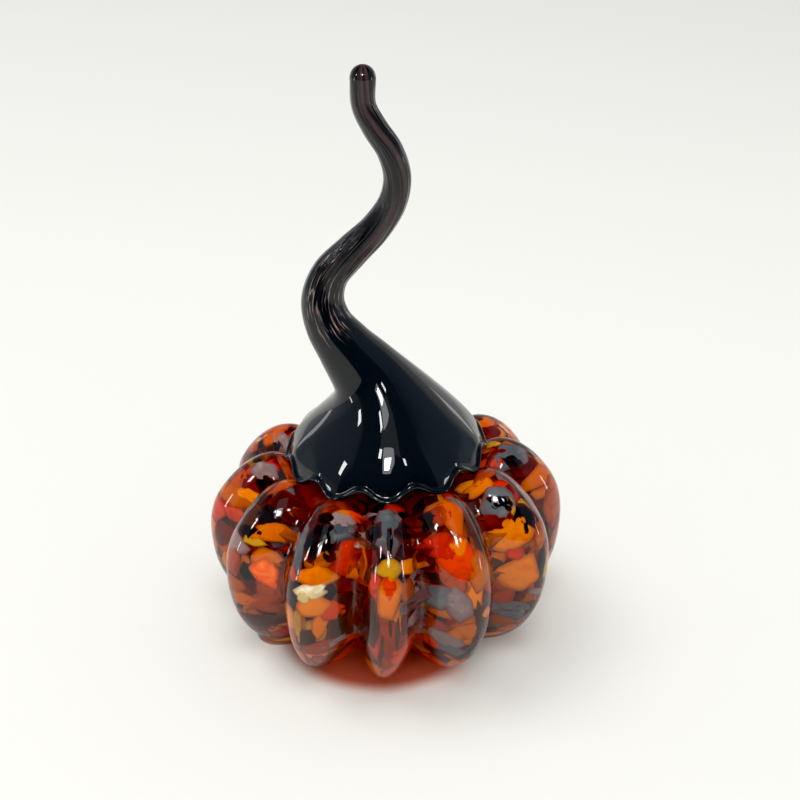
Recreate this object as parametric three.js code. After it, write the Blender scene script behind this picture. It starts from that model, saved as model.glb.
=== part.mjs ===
// Small ribbed glass pumpkin: a solid body of twelve ribs, and one black glass piece that is
// both its pointed cap and its curled stem.
// Units are millimetres, +Z is up and the flat base lies on Z = 0.
// A rib crest faces the front (-Y) and the stem leans to the left (-X).
import * as THREE from 'three';

// Body outline, from the edge of the flat base up the side and in to the axis.
// Each station gives [radius, height] on a rib crest and in the valley between two ribs.
const RIB_COUNT = 12;
const BODY_STATIONS = [
  { crest: [17.3, 0], valley: [11, 0] },
  { crest: [24.8, 1.5], valley: [15.8, 2.4] },
  { crest: [30.3, 5.7], valley: [22.6, 7.2] },
  { crest: [33.8, 12.3], valley: [27.3, 13.4] },
  { crest: [35, 20.5], valley: [28.7, 20.6] },
  { crest: [34.1, 27.1], valley: [27.9, 25.8] },
  { crest: [30.9, 32.4], valley: [25.9, 30.2] },
  { crest: [26.6, 36.3], valley: [23.1, 33.2] },
  { crest: [22.2, 37.7], valley: [19.8, 34.3] },
  { crest: [18.2, 36.2], valley: [16.6, 34.1] },
  { crest: [12, 34.2], valley: [11.6, 33.4] },
  { crest: [0, 33], valley: [0, 33] },
];
const WIDEST_RADIUS = 35;
const RIGHT_SIDE_RISE = 0.05;
const RIB_FULLNESS = 0.85;
const VALLEY_SOFTNESS = 0.25;

// Hand-made ribs differ. In order from the front rib to the right: the valley on each rib's
// right and how far round its foot leans, both in degrees, its size and its foot's spread.
const VALLEY_ANGLES = [12, 43, 75, 106, 137, 166, 194, 225, 255, 285, 317, 347.5];
const FOOT_LEANS = [-3.2, 0, 0, 0, 1, 0, -1, 0, 1, 0, -1, -6];
const RIB_SIZES = [1, 1, 1, 1, 0.98, 0.99, 1, 0.99, 1, 1, 1, 1];
const FOOT_SPREADS = [0, 0, 0, 0, 0, 0, 0, 0, 0, 0.5, 4, 0];
const LEAN_HEIGHT = 20;
const SPREAD_HEIGHT = 5;

// Cap: twelve points lie on the rib crests and the rim arches over the valleys between them.
const GLASS_GAP = 0.35;
const CAP_POINT_RADII = [20.2, 20.6, 20, 19.9, 19.8, 19.6, 19.8, 19.7, 19.8, 19.8, 19.7, 20.3];
const CAP_ARCH_RADIUS = 19.2;
const CAP_ARCH_HEIGHT = 38.2;
const CAP_POINT_SHARPNESS = 1.35;
const CAP_POINT_THICKNESS = 1;
const CAP_ARCH_THICKNESS = 1.6;
const RIM_UNDERCUT = 0.7;
const RIM_TOP_INSET = 0.8;
const RIM_BULGE_SHARE = 0.5;
const ALCOVE_DEPTH = 6.8;
const RIM_MEAN_RADIUS = 18.8;
const RIM_MEAN_HEIGHT = 39.6;
const RIM_WAVE_REACH = 0.4;
const CAP_LEAVE_INWARD = 4;
const CAP_LEAVE_UPWARD = 10;
const CAP_ARRIVE_LENGTH = 13;

// Stem centre line as [x, y, z] with the radius there.
const STEM_PATH = [
  { at: [-4.6, 0, 55.4], radius: 6.6 },
  { at: [-7.6, 0, 59.6], radius: 5.45 },
  { at: [-10.45, 0.4, 64.1], radius: 4.55 },
  { at: [-11.5, 1, 68.7], radius: 4.05 },
  { at: [-10.15, 1.4, 73.4], radius: 3.55 },
  { at: [-6.15, 1.2, 78], radius: 3.2 },
  { at: [-1.5, 0.6, 83], radius: 2.85 },
  { at: [1.45, -0.1, 88], radius: 2.6 },
  { at: [2.3, -0.7, 92.9], radius: 2.5 },
  { at: [1.05, -1, 97.7], radius: 2.4 },
  { at: [-1.75, -0.9, 102.2], radius: 2.28 },
  { at: [-3.5, -0.5, 105.9], radius: 2.18 },
  { at: [-3.6, -0.2, 110.6], radius: 2.3 },
];

// Mesh fineness.
const RIB_SEGMENTS = 8;
const SEGMENTS_AROUND = RIB_COUNT * RIB_SEGMENTS;
const RINGS_PER_STATION = 3;
const WIDEST_STATION = 4;
const HALVINGS = 30;
const CAP_UNDER_RINGS = 6;
const CAP_TOP_RINGS = 11;
const STEM_SEGMENTS = 32;
const STEM_RINGS = 42;
const TIP_RINGS = 4;
const FOOT_STEP = 0.001;

const QUARTER_TURN = Math.PI / 2;
const FULL_TURN = Math.PI * 2;

function mix(a, b, share) {
  return a + (b - a) * share;
}

// Rib at an angle, as its number and how far across it the angle is: 0 and 1 in its two valleys.
function ribAt(angle) {
  const degrees = THREE.MathUtils.euclideanModulo(THREE.MathUtils.radToDeg(angle), 360);
  const valleysPassed = VALLEY_ANGLES.filter((valley) => valley <= degrees).length;
  const rib = valleysPassed % RIB_COUNT;
  const end = VALLEY_ANGLES[rib];
  const start = VALLEY_ANGLES[(rib + RIB_COUNT - 1) % RIB_COUNT];
  const width = THREE.MathUtils.euclideanModulo(end - start, 360);
  return { rib, across: THREE.MathUtils.euclideanModulo(degrees - start, 360) / width };
}

// 1 on a rib crest, 0 in a valley: full round ribs with narrow valleys between them.
function ribShare(angle) {
  const wave = Math.sin(Math.PI * ribAt(angle).across);
  const lift = Math.hypot(wave, VALLEY_SOFTNESS) - VALLEY_SOFTNESS;
  const highest = Math.hypot(1, VALLEY_SOFTNESS) - VALLEY_SOFTNESS;
  return (lift / highest) ** RIB_FULLNESS;
}

// 1 at a point of the cap, 0 in the middle of an arch: wide arches that meet in blunt points.
function pointShareAt(angle) {
  return (0.5 + 0.5 * Math.cos(RIB_COUNT * angle)) ** CAP_POINT_SHARPNESS;
}

// Smooth value between the second and third of four evenly spaced values.
function smoothBetween(before, start, end, after, share) {
  const square = share * share;
  const cube = square * share;
  return 0.5 * (2 * start + (end - before) * share
    + (2 * before - 5 * start + 4 * end - after) * square
    + (3 * start - before - 3 * end + after) * cube);
}

// Value of one coordinate along the stations; kind is 'crest' or 'valley'.
function alongStations(stage, kind, coordinate) {
  const last = BODY_STATIONS.length - 1;
  const index = Math.min(Math.floor(stage), last - 1);
  const value = (i) => BODY_STATIONS[i][kind][coordinate];
  const start = value(index);
  const end = value(index + 1);
  const before = index > 0 ? value(index - 1) : 2 * start - end;
  const after = index + 2 <= last ? value(index + 2) : 2 * end - start;
  return smoothBetween(before, start, end, after, stage - index);
}

// Radius and height of the ribbed surface at one stage of the outline and one angle.
function bodyOutline(stage, angle) {
  const share = ribShare(angle);
  const { rib } = ribAt(angle);
  const [radius, height] = [0, 1].map((coordinate) => mix(
    alongStations(stage, 'valley', coordinate),
    alongStations(stage, 'crest', coordinate) * RIB_SIZES[rib],
    share,
  ));
  const spread = FOOT_SPREADS[rib] * share * Math.max(1 - height / SPREAD_HEIGHT, 0);
  return { radius: radius + spread, height };
}

// How far the ribs lean round at one angle and height, blended from rib to rib.
function leanAt(angle, height) {
  const { rib, across } = ribAt(angle);
  const neighbour = (rib + (across > 0.5 ? 1 : RIB_COUNT - 1)) % RIB_COUNT;
  const lean = mix(FOOT_LEANS[rib], FOOT_LEANS[neighbour], Math.abs(across - 0.5));
  return THREE.MathUtils.degToRad(lean) * Math.max(1 - height / LEAN_HEIGHT, 0) ** 2;
}

// Angle 0 points to the front (-Y) and grows towards the right (+X).
// The right side of the top stands a little higher than the left.
function place(angle, radius, height) {
  const turned = angle + leanAt(angle, height);
  const x = radius * Math.sin(turned);
  const y = -radius * Math.cos(turned);
  return new THREE.Vector3(x, y, height * (1 + (RIGHT_SIDE_RISE * x) / WIDEST_RADIUS));
}

// Collects rings of points and joins them into one closed mesh.
class RingMesh {
  constructor() {
    this.points = [];
    this.faces = [];
  }

  addPoint(point) {
    this.points.push(point.x, point.y, point.z);
    return this.points.length / 3 - 1;
  }

  addRing(points) {
    return points.map((point) => this.addPoint(point));
  }

  joinRings(below, above) {
    for (let i = 0; i < below.length; i += 1) {
      const next = (i + 1) % below.length;
      this.faces.push(below[i], below[next], above[next]);
      this.faces.push(below[i], above[next], above[i]);
    }
  }

  // Joins a fine ring below to a coarser ring above.
  joinToCoarser(below, above) {
    const ratio = below.length / above.length;
    const middle = Math.floor(ratio / 2);
    for (let i = 0; i < above.length; i += 1) {
      const next = (i + 1) % above.length;
      for (let j = 0; j < ratio; j += 1) {
        const first = below[i * ratio + j];
        const second = below[(i * ratio + j + 1) % below.length];
        this.faces.push(first, second, above[j <= middle ? i : next]);
        if (j === middle) {
          this.faces.push(second, above[next], above[i]);
        }
      }
    }
  }

  closeBelow(ring, point) {
    const centre = this.addPoint(point);
    for (let i = 0; i < ring.length; i += 1) {
      this.faces.push(centre, ring[(i + 1) % ring.length], ring[i]);
    }
  }

  closeAbove(ring, point) {
    const centre = this.addPoint(point);
    for (let i = 0; i < ring.length; i += 1) {
      this.faces.push(centre, ring[i], ring[(i + 1) % ring.length]);
    }
  }

  geometry() {
    const geometry = new THREE.BufferGeometry();
    geometry.setAttribute('position', new THREE.Float32BufferAttribute(this.points, 3));
    geometry.setIndex(this.faces);
    geometry.computeVertexNormals();
    return geometry;
  }
}

function anglesAround(count) {
  return Array.from({ length: count }, (_, i) => (i / count) * FULL_TURN);
}

// Angles round the body, evenly spread over each rib.
function anglesOverRibs() {
  return VALLEY_ANGLES.flatMap((start, i) => {
    const end = i + 1 < RIB_COUNT ? VALLEY_ANGLES[i + 1] : VALLEY_ANGLES[0] + 360;
    return Array.from({ length: RIB_SEGMENTS }, (_, j) => (
      THREE.MathUtils.degToRad(mix(start, end, j / RIB_SEGMENTS))
    ));
  });
}

function buildBody() {
  const mesh = new RingMesh();
  const angles = anglesOverRibs();
  const ringCount = (BODY_STATIONS.length - 1) * RINGS_PER_STATION;
  const rings = [];
  for (let i = 0; i < ringCount; i += 1) {
    rings.push(mesh.addRing(angles.map((angle) => {
      const { radius, height } = bodyOutline(i / RINGS_PER_STATION, angle);
      return place(angle, radius, height);
    })));
  }
  for (let i = 1; i < rings.length; i += 1) {
    mesh.joinRings(rings[i - 1], rings[i]);
  }
  mesh.closeBelow(rings[0], place(0, 0, 0));
  mesh.closeAbove(rings[rings.length - 1], place(0, 0, bodyOutline(BODY_STATIONS.length - 1, 0).height));
  return mesh.geometry();
}

// Height of the body's top at one radius and angle, found by halving between two stages.
function topHeight(radius, angle) {
  let low = WIDEST_STATION;
  let high = BODY_STATIONS.length - 1;
  for (let i = 0; i < HALVINGS; i += 1) {
    const middle = (low + high) / 2;
    if (bodyOutline(middle, angle).radius > radius) {
      low = middle;
    } else {
      high = middle;
    }
  }
  return bodyOutline(low, angle).height;
}

// Centre line of the stem with a radius at every share of its length.
class StemPath {
  constructor(stations) {
    this.curve = new THREE.CatmullRomCurve3(
      stations.map((station) => new THREE.Vector3(...station.at)),
      false,
      'centripetal',
    );
    this.radii = stations.map((station) => station.radius);
  }

  radius(share) {
    const last = this.radii.length - 1;
    const position = share * last;
    const index = Math.min(Math.floor(position), last - 1);
    const start = this.radii[index];
    const end = this.radii[index + 1];
    const before = index > 0 ? this.radii[index - 1] : 2 * start - end;
    const after = index + 2 <= last ? this.radii[index + 2] : 2 * end - start;
    return smoothBetween(before, start, end, after, position - index);
  }

  // Point on the round stem surface; the angle runs as it does on the body.
  point(share, angle, radius) {
    const centre = this.curve.getPoint(share);
    const along = this.curve.getTangent(share);
    const front = new THREE.Vector3(0, -1, 0);
    const right = new THREE.Vector3().crossVectors(along, front).normalize();
    const towards = new THREE.Vector3().crossVectors(right, along).normalize();
    return centre
      .addScaledVector(right, radius * Math.sin(angle))
      .addScaledVector(towards, radius * Math.cos(angle));
  }

  // Direction in which the surface starts up from the foot at one angle.
  directionAtFoot(angle) {
    const foot = this.point(0, angle, this.radius(0));
    return this.point(FOOT_STEP, angle, this.radius(FOOT_STEP)).sub(foot).normalize();
  }
}

// Smooth curve from one point to another that leaves and arrives along two given directions.
function bridge(from, leave, to, arrive, share) {
  const square = share * share;
  const cube = square * share;
  return new THREE.Vector3()
    .addScaledVector(from, 2 * cube - 3 * square + 1)
    .addScaledVector(leave, cube - 2 * square + share)
    .addScaledVector(to, 3 * square - 2 * cube)
    .addScaledVector(arrive, cube - square);
}

// Rim of the cap at one angle: how far out it reaches, its lower edge and its thickness.
function capRim(angle) {
  const pointShare = pointShareAt(angle);
  const pointIndex = Math.round((angle / FULL_TURN) * RIB_COUNT) % RIB_COUNT;
  const radius = mix(CAP_ARCH_RADIUS, CAP_POINT_RADII[pointIndex], pointShare);
  const resting = topHeight(radius - RIM_UNDERCUT, angle) + GLASS_GAP;
  return {
    angle,
    radius,
    lower: mix(Math.max(CAP_ARCH_HEIGHT, resting), resting, pointShare),
    thickness: mix(CAP_ARCH_THICKNESS, CAP_POINT_THICKNESS, pointShare),
  };
}

function buildStem() {
  const mesh = new RingMesh();
  const path = new StemPath(STEM_PATH);
  const rim = anglesAround(SEGMENTS_AROUND).map(capRim);

  // Underside, lying on the body near the axis and lifting off over the valleys near the rim.
  const underRings = [];
  for (let i = 1; i <= CAP_UNDER_RINGS; i += 1) {
    const share = Math.sqrt(i / CAP_UNDER_RINGS);
    underRings.push(mesh.addRing(rim.map(({ angle, radius, lower }) => {
      const inner = (radius - RIM_UNDERCUT) * share;
      const resting = topHeight(inner, angle) + GLASS_GAP;
      const edge = topHeight(radius - RIM_UNDERCUT, angle) + GLASS_GAP;
      const fromEdge = Math.min((radius - RIM_UNDERCUT - inner) / ALCOVE_DEPTH, 1);
      return place(angle, inner, resting + (lower - edge) * (1 - fromEdge ** 2));
    })));
  }
  for (let i = 1; i < underRings.length; i += 1) {
    mesh.joinRings(underRings[i - 1], underRings[i]);
  }
  mesh.closeBelow(underRings[0], place(0, 0, topHeight(0, 0) + GLASS_GAP));

  // Rounded rim, then the slope from it up to the foot of the stem.
  let last = mesh.addRing(rim.map(({ angle, radius, lower, thickness }) => (
    place(angle, radius, lower + thickness * RIM_BULGE_SHARE)
  )));
  mesh.joinRings(underRings[underRings.length - 1], last);
  for (let i = 0; i < CAP_TOP_RINGS; i += 1) {
    const share = i / CAP_TOP_RINGS;
    const waveShare = Math.max(1 - share / RIM_WAVE_REACH, 0) ** 2;
    const ring = mesh.addRing(rim.map(({ angle, radius, lower, thickness }) => {
      const mean = place(angle, RIM_MEAN_RADIUS, RIM_MEAN_HEIGHT);
      const leave = new THREE.Vector3(
        -CAP_LEAVE_INWARD * Math.sin(angle),
        CAP_LEAVE_INWARD * Math.cos(angle),
        CAP_LEAVE_UPWARD,
      );
      const wave = place(angle, radius - RIM_TOP_INSET, lower + thickness).sub(mean);
      const foot = path.point(0, angle, path.radius(0));
      const arrive = path.directionAtFoot(angle).multiplyScalar(CAP_ARRIVE_LENGTH);
      return bridge(mean, leave, foot, arrive, share).addScaledVector(wave, waveShare);
    }));
    mesh.joinRings(last, ring);
    last = ring;
  }

  // Round curled stem with a domed tip.
  const stemAngles = anglesAround(STEM_SEGMENTS);
  for (let i = 0; i <= STEM_RINGS; i += 1) {
    const share = i / STEM_RINGS;
    const ring = mesh.addRing(stemAngles.map((angle) => (
      path.point(share, angle, path.radius(share))
    )));
    if (i === 0) {
      mesh.joinToCoarser(last, ring);
    } else {
      mesh.joinRings(last, ring);
    }
    last = ring;
  }
  const tipRadius = path.radius(1);
  const tipAlong = path.curve.getTangent(1);
  for (let i = 1; i < TIP_RINGS; i += 1) {
    const turn = (i / TIP_RINGS) * QUARTER_TURN;
    const ring = mesh.addRing(stemAngles.map((angle) => (
      path.point(1, angle, tipRadius * Math.cos(turn))
        .addScaledVector(tipAlong, tipRadius * Math.sin(turn))
    )));
    mesh.joinRings(last, ring);
    last = ring;
  }
  mesh.closeAbove(last, path.curve.getPoint(1).addScaledVector(tipAlong, tipRadius));
  return mesh.geometry();
}

const glassBody = new THREE.MeshStandardMaterial({
  name: 'orange_frit_glass',
  color: 0xc4560f,
  roughness: 0.06,
  metalness: 0,
});
const glassStem = new THREE.MeshStandardMaterial({
  name: 'black_glass',
  color: 0x0c0c10,
  roughness: 0.05,
  metalness: 0,
});

const body = new THREE.Mesh(buildBody(), glassBody);
body.name = 'pumpkin_body';

const stem = new THREE.Mesh(buildStem(), glassStem);
stem.name = 'stem';

const pumpkin = new THREE.Group();
pumpkin.name = 'glass_pumpkin';
pumpkin.add(body, stem);

export default pumpkin;
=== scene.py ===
import math

import bpy
import numpy as np
from mathutils import Matrix, Vector


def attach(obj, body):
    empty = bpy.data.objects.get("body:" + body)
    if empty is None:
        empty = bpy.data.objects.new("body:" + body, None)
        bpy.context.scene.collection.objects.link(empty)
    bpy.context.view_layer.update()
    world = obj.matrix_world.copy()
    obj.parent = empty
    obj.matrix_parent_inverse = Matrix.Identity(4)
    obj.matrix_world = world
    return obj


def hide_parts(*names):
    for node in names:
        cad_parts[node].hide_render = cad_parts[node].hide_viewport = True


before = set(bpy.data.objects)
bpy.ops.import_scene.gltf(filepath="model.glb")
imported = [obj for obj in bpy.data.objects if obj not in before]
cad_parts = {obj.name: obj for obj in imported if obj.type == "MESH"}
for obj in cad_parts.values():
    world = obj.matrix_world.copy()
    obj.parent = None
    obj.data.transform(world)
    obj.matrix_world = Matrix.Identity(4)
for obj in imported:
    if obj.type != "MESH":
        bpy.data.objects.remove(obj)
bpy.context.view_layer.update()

MM = 0.001
rng = np.random.default_rng(12)

# Body outline in millimetres, as in the CAD model: [radius, height] on a crest and in a valley.
RIB_COUNT = 12
CREST = np.array([
    [17.3, 0], [24.8, 1.5], [30.3, 5.7], [33.8, 12.3], [35, 20.5], [34.1, 27.1],
    [30.9, 32.4], [26.6, 36.3], [22.2, 37.7], [18.2, 36.2], [12, 34.2], [0, 33],
])
VALLEY = np.array([
    [11, 0], [15.8, 2.4], [22.6, 7.2], [27.3, 13.4], [28.7, 20.6], [27.9, 25.8],
    [25.9, 30.2], [23.1, 33.2], [19.8, 34.3], [16.6, 34.1], [11.6, 33.4], [0, 33],
])
LAST_STAGE = len(CREST) - 1
WIDEST_STATION = 4
WIDEST_RADIUS = 35
RIGHT_SIDE_RISE = 0.05
RIB_FULLNESS = 0.85
VALLEY_SOFTNESS = 0.25

# From the front rib to the right: each rib's right valley and its foot's lean in degrees,
# its size and how far its foot spreads in millimetres.
VALLEY_ANGLES = np.array([12, 43, 75, 106, 137, 166, 194, 225, 255, 285, 317, 347.5])
FOOT_LEANS = np.array([-3.2, 0, 0, 0, 1, 0, -1, 0, 1, 0, -1, -6])
RIB_SIZES = np.array([1, 1, 1, 1, 0.98, 0.99, 1, 0.99, 1, 1, 1, 1])
FOOT_SPREADS = np.array([0, 0, 0, 0, 0, 0, 0, 0, 0, 0.5, 4, 0])
LEAN_HEIGHT = 20
SPREAD_HEIGHT = 5

# The smooth outline bulges a hair past its stations, so the glass is drawn in by this share.
DRAW_IN = 0.9995


def smooth_between(before, start, end, after, share):
    """Smooth value between the second and third of four evenly spaced values."""
    return 0.5 * (
        2 * start
        + (end - before) * share
        + (2 * before - 5 * start + 4 * end - after) * share**2
        + (3 * start - before - 3 * end + after) * share**3
    )


def along(stations, stage):
    """Smooth curve through the stations, at an array of stages."""
    padded = np.vstack([2 * stations[0] - stations[1], stations, 2 * stations[-1] - stations[-2]])
    index = np.clip(np.floor(stage).astype(int), 0, LAST_STAGE - 1)
    share = (stage - index)[..., None]
    return smooth_between(*(padded[index + i] for i in range(4)), share)


def rib_at(angle):
    """Number of the rib at each angle, and how far across it the angle is, from 0 to 1."""
    degrees = np.degrees(angle) % 360
    rib = np.searchsorted(VALLEY_ANGLES, degrees, side="right") % RIB_COUNT
    start = VALLEY_ANGLES[rib - 1]
    width = (VALLEY_ANGLES[rib] - start) % 360
    return rib, ((degrees - start) % 360) / width


def rib_share(angle):
    """1 on a rib crest, 0 in a valley."""
    wave = np.sin(math.pi * rib_at(angle)[1])
    lift = np.hypot(wave, VALLEY_SOFTNESS) - VALLEY_SOFTNESS
    highest = math.hypot(1, VALLEY_SOFTNESS) - VALLEY_SOFTNESS
    return (lift / highest) ** RIB_FULLNESS


def lean_at(angle, height):
    """How far the ribs lean round near the foot."""
    rib, across = rib_at(angle)
    neighbour = np.where(across > 0.5, rib + 1, rib - 1) % RIB_COUNT
    lean = FOOT_LEANS[rib] + (FOOT_LEANS[neighbour] - FOOT_LEANS[rib]) * np.abs(across - 0.5)
    return np.radians(lean) * np.maximum(1 - height / LEAN_HEIGHT, 0) ** 2


def place(angle, radius, height):
    """Angle 0 points to the front (-Y) and grows to the right; the right side stands higher."""
    turned = angle + lean_at(angle, height)
    x = radius * np.sin(turned) * DRAW_IN
    y = -radius * np.cos(turned) * DRAW_IN
    return np.stack([x, y, height * (1 + RIGHT_SIDE_RISE * x / WIDEST_RADIUS)], -1)


def body_outline(stage, angle):
    """Radius and height of the body's surface."""
    share = rib_share(angle)
    rib, _ = rib_at(angle)
    crest = along(CREST, stage) * RIB_SIZES[rib][..., None]
    both = along(VALLEY, stage) * (1 - share[..., None]) + crest * share[..., None]
    height = both[..., 1]
    spread = FOOT_SPREADS[rib] * share * np.maximum(1 - height / SPREAD_HEIGHT, 0)
    return both[..., 0] + spread, height


def body_point(stage, angle):
    """Point on the body's surface, in millimetres."""
    return place(angle, *body_outline(stage, angle))


NORMAL_STEP = 1e-3
TINY = 1e-9


def body_normal(stage, angle):
    """Direction straight out of the glass."""
    across = body_point(stage, angle + NORMAL_STEP) - body_point(stage, angle - NORMAL_STEP)
    upward = body_point(stage + NORMAL_STEP, angle) - body_point(stage - NORMAL_STEP, angle)
    normal = np.cross(across, upward)
    return normal / np.maximum(np.linalg.norm(normal, axis=-1, keepdims=True), TINY)


# Distance climbed along a crest from the edge of the base, for placing chips evenly.
LAST_CHIP_STAGE = 9.4
TABLE_STEPS = 400
STAGE_TABLE = np.linspace(0, LAST_CHIP_STAGE, TABLE_STEPS)
crest_line = along(CREST, STAGE_TABLE)
CLIMB_TABLE = np.concatenate([[0], np.cumsum(np.linalg.norm(np.diff(crest_line, axis=0), axis=1))])


def stage_at(climb):
    """Stage of the outline at each distance climbed."""
    return np.interp(climb, CLIMB_TABLE, STAGE_TABLE)


def radius_at(angle, climb):
    """Radius of the body at one angle and distance climbed."""
    return float(body_outline(stage_at(np.array([climb])), np.array([angle]))[0][0])


def inside_point(angle, climb, depth):
    """Point inside the glass, that deep below its surface, in millimetres."""
    stage = stage_at(climb)
    return body_point(stage, angle) - body_normal(stage, angle) * depth[..., None]


def new_object(name, points_mm, faces):
    """Smooth-shaded mesh object from points in millimetres."""
    mesh = bpy.data.meshes.new(name)
    mesh.from_pydata((np.asarray(points_mm) * MM).tolist(), [], faces)
    mesh.validate()
    mesh.polygons.foreach_set("use_smooth", [True] * len(mesh.polygons))
    mesh.update()
    obj = bpy.data.objects.new(name, mesh)
    bpy.context.collection.objects.link(obj)
    return obj


def loop_vertices(obj):
    """Vertex number at each corner of each face."""
    loops = np.zeros(len(obj.data.loops), int)
    obj.data.loops.foreach_get("vertex_index", loops)
    return loops


def add_uv(obj, name, across, upward):
    """UV layer from two values at each corner of each face."""
    layer = obj.data.uv_layers.new(name=name)
    layer.data.foreach_set("uv", np.stack([across, upward], -1).ravel())


def ring_faces(ring_count, around):
    """Quads that join each ring of points to the next one up."""
    faces = []
    for i in range(ring_count - 1):
        for j in range(around):
            k = (j + 1) % around
            low = i * around
            high = low + around
            faces.append((low + j, low + k, high + k, high + j))
    return faces


def closed_rings(rings, bottom, top):
    """Points and faces of a closed body made of rings with a point at each end."""
    around = len(rings[0])
    points = np.vstack([*rings, [bottom], [top]])
    faces = ring_faces(len(rings), around)
    low = len(points) - 2
    high = len(points) - 1
    last = (len(rings) - 1) * around
    for j in range(around):
        k = (j + 1) % around
        faces.append((low, k, j))
        faces.append((high, last + j, last + k))
    return points, faces


# Materials.
GLASS_IOR = 1.5
CASING_TINT = (1, 0.94, 0.87, 1)
SHADOW_TINT = (1, 0.98, 0.95, 1)
RIPPLE_STRENGTH = 0.12
RIPPLE_DEPTH = 0.0008

# Noises are scale, detail and distortion. Ranges are where a mask starts and where it is full.
RIPPLE_NOISE = (70, 1)
FRIT_SPECULAR = 0.06
FRIT_ROUGHNESS = 0.55
# Painted glow: the chips and the core give off light in their own colour, standing in for light
# shining through the glass.
FRIT_PAINTED_GLOW = 0.14
THIN_EDGE = (0.13, 0.010, 0.001)
THIN_RANGE = (0.62, 1.05)
THIN_MOST = 0.6
CLOUD_NOISE = (240, 4, 1.4)
CLOUD_RANGE = (0.46, 0.72)
CLOUD_MOST = 0.7
CORE_DARK = (0.018, 0.003, 0.002)
CORE_RED = (0.16, 0.008, 0.001)
CORE_RED_NOISE = (90, 2, 2.0)
CORE_RED_RANGE = (0.42, 0.62)
CORE_BRIGHT = (0.34, 0.04, 0.002)
CORE_BRIGHT_NOISE = (230, 4, 1.0)
CORE_BRIGHT_RANGE = (0.5, 0.7)
CORE_BRIGHT_MOST = 0.8
CAP_NAVY = (0.0085, 0.0105, 0.0130)
BLACK_ROUGHNESS = 0.02
BLACK_SPECULAR = 0.38
STEM_NAVY = (0.0085, 0.0083, 0.0095)
STEM_TWIST = 0.35
STREAK_PLUM = (0.062, 0.036, 0.038)
STREAK_NOISE = (2.6, 4)
STREAK_RANGE = (0.44, 0.66)
# Painted highlights: pale pink specks on the stem's bend stand in for glints of light.
PAINTED_GLINT_PINK = (0.30, 0.21, 0.19)
PAINTED_GLINT_NOISE = (17, 2)
PAINTED_GLINT_RANGE = (0.58, 0.70)
GROOVE_NOISE = (5.0, 2)
GROOVE_STRENGTH = 0.5
GROOVE_DEPTH = 0.0012

# Shares of the rings from the rim of the cap, at 0, to the tip of the stem, at 1.
THIN_STEM = (0.28, 0.62)
BEND_START = (0.29, 0.35)
BEND_END = (0.44, 0.54)
STEM_TIP = (0.96, 0.995)


def new_material(name):
    mat = bpy.data.materials.new(name)
    mat.use_nodes = True
    return mat, mat.node_tree.nodes, mat.node_tree.links


def math_node(nodes, links, operation, first, *others):
    """Result of a Math node; each value is a number or an output of another node."""
    node = nodes.new("ShaderNodeMath")
    node.operation = operation
    for socket, value in zip(node.inputs, (first, *others)):
        if isinstance(value, (int, float)):
            socket.default_value = value
        else:
            links.new(value, socket)
    return node.outputs["Value"]


def map_range(nodes, links, value, low, high, to_low=0.0, to_high=1.0):
    """Smooth step of a value from one range to another."""
    node = nodes.new("ShaderNodeMapRange")
    node.interpolation_type = "SMOOTHSTEP"
    node.inputs["From Min"].default_value = low
    node.inputs["From Max"].default_value = high
    node.inputs["To Min"].default_value = to_low
    node.inputs["To Max"].default_value = to_high
    links.new(value, node.inputs["Value"])
    return node.outputs["Result"]


def mix_colours(nodes, links, factor, first, second):
    """Mix of two colours, each an (r, g, b) or an output of another node."""
    node = nodes.new("ShaderNodeMix")
    node.data_type = "RGBA"
    links.new(factor, node.inputs["Factor"])
    for name, colour in (("A", first), ("B", second)):
        if isinstance(colour, tuple):
            node.inputs[name].default_value = (*colour, 1)
        else:
            links.new(colour, node.inputs[name])
    return node.outputs["Result"]


def noise_value(nodes, links, vector, scale, detail, distortion=0.0):
    node = nodes.new("ShaderNodeTexNoise")
    node.inputs["Scale"].default_value = scale
    node.inputs["Detail"].default_value = detail
    node.inputs["Distortion"].default_value = distortion
    links.new(vector, node.inputs["Vector"])
    return node.outputs["Fac"]


def clear_glass():
    """Warm clear casing glass; light that only casts shadows passes straight through."""
    mat, nodes, links = new_material("clear_glass")
    shader = nodes["Principled BSDF"]
    shader.inputs["Base Color"].default_value = CASING_TINT
    shader.inputs["Roughness"].default_value = 0.0
    shader.inputs["IOR"].default_value = GLASS_IOR
    shader.inputs["Transmission Weight"].default_value = 1
    coords = nodes.new("ShaderNodeTexCoord")
    bump = nodes.new("ShaderNodeBump")
    bump.inputs["Strength"].default_value = RIPPLE_STRENGTH
    bump.inputs["Distance"].default_value = RIPPLE_DEPTH
    ripples = noise_value(nodes, links, coords.outputs["Object"], *RIPPLE_NOISE)
    links.new(ripples, bump.inputs["Height"])
    links.new(bump.outputs["Normal"], shader.inputs["Normal"])
    path = nodes.new("ShaderNodeLightPath")
    open_way = nodes.new("ShaderNodeBsdfTransparent")
    open_way.inputs["Color"].default_value = SHADOW_TINT
    choose = nodes.new("ShaderNodeMixShader")
    links.new(path.outputs["Is Shadow Ray"], choose.inputs["Fac"])
    links.new(shader.outputs["BSDF"], choose.inputs[1])
    links.new(open_way.outputs["BSDF"], choose.inputs[2])
    links.new(choose.outputs["Shader"], nodes["Material Output"].inputs["Surface"])
    return mat


def finish_frit(nodes, links, colour):
    """Coloured glass inside the casing: hardly any mirror of its own, and a painted glow in its own
    colour that stands in for light shining through it.
    """
    shader = nodes["Principled BSDF"]
    shader.inputs["Roughness"].default_value = FRIT_ROUGHNESS
    shader.inputs["Specular IOR Level"].default_value = FRIT_SPECULAR
    # Painted glow, in the same colour as the glass.
    shader.inputs["Emission Strength"].default_value = FRIT_PAINTED_GLOW
    links.new(colour, shader.inputs["Base Color"])
    links.new(colour, shader.inputs["Emission Color"])


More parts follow.
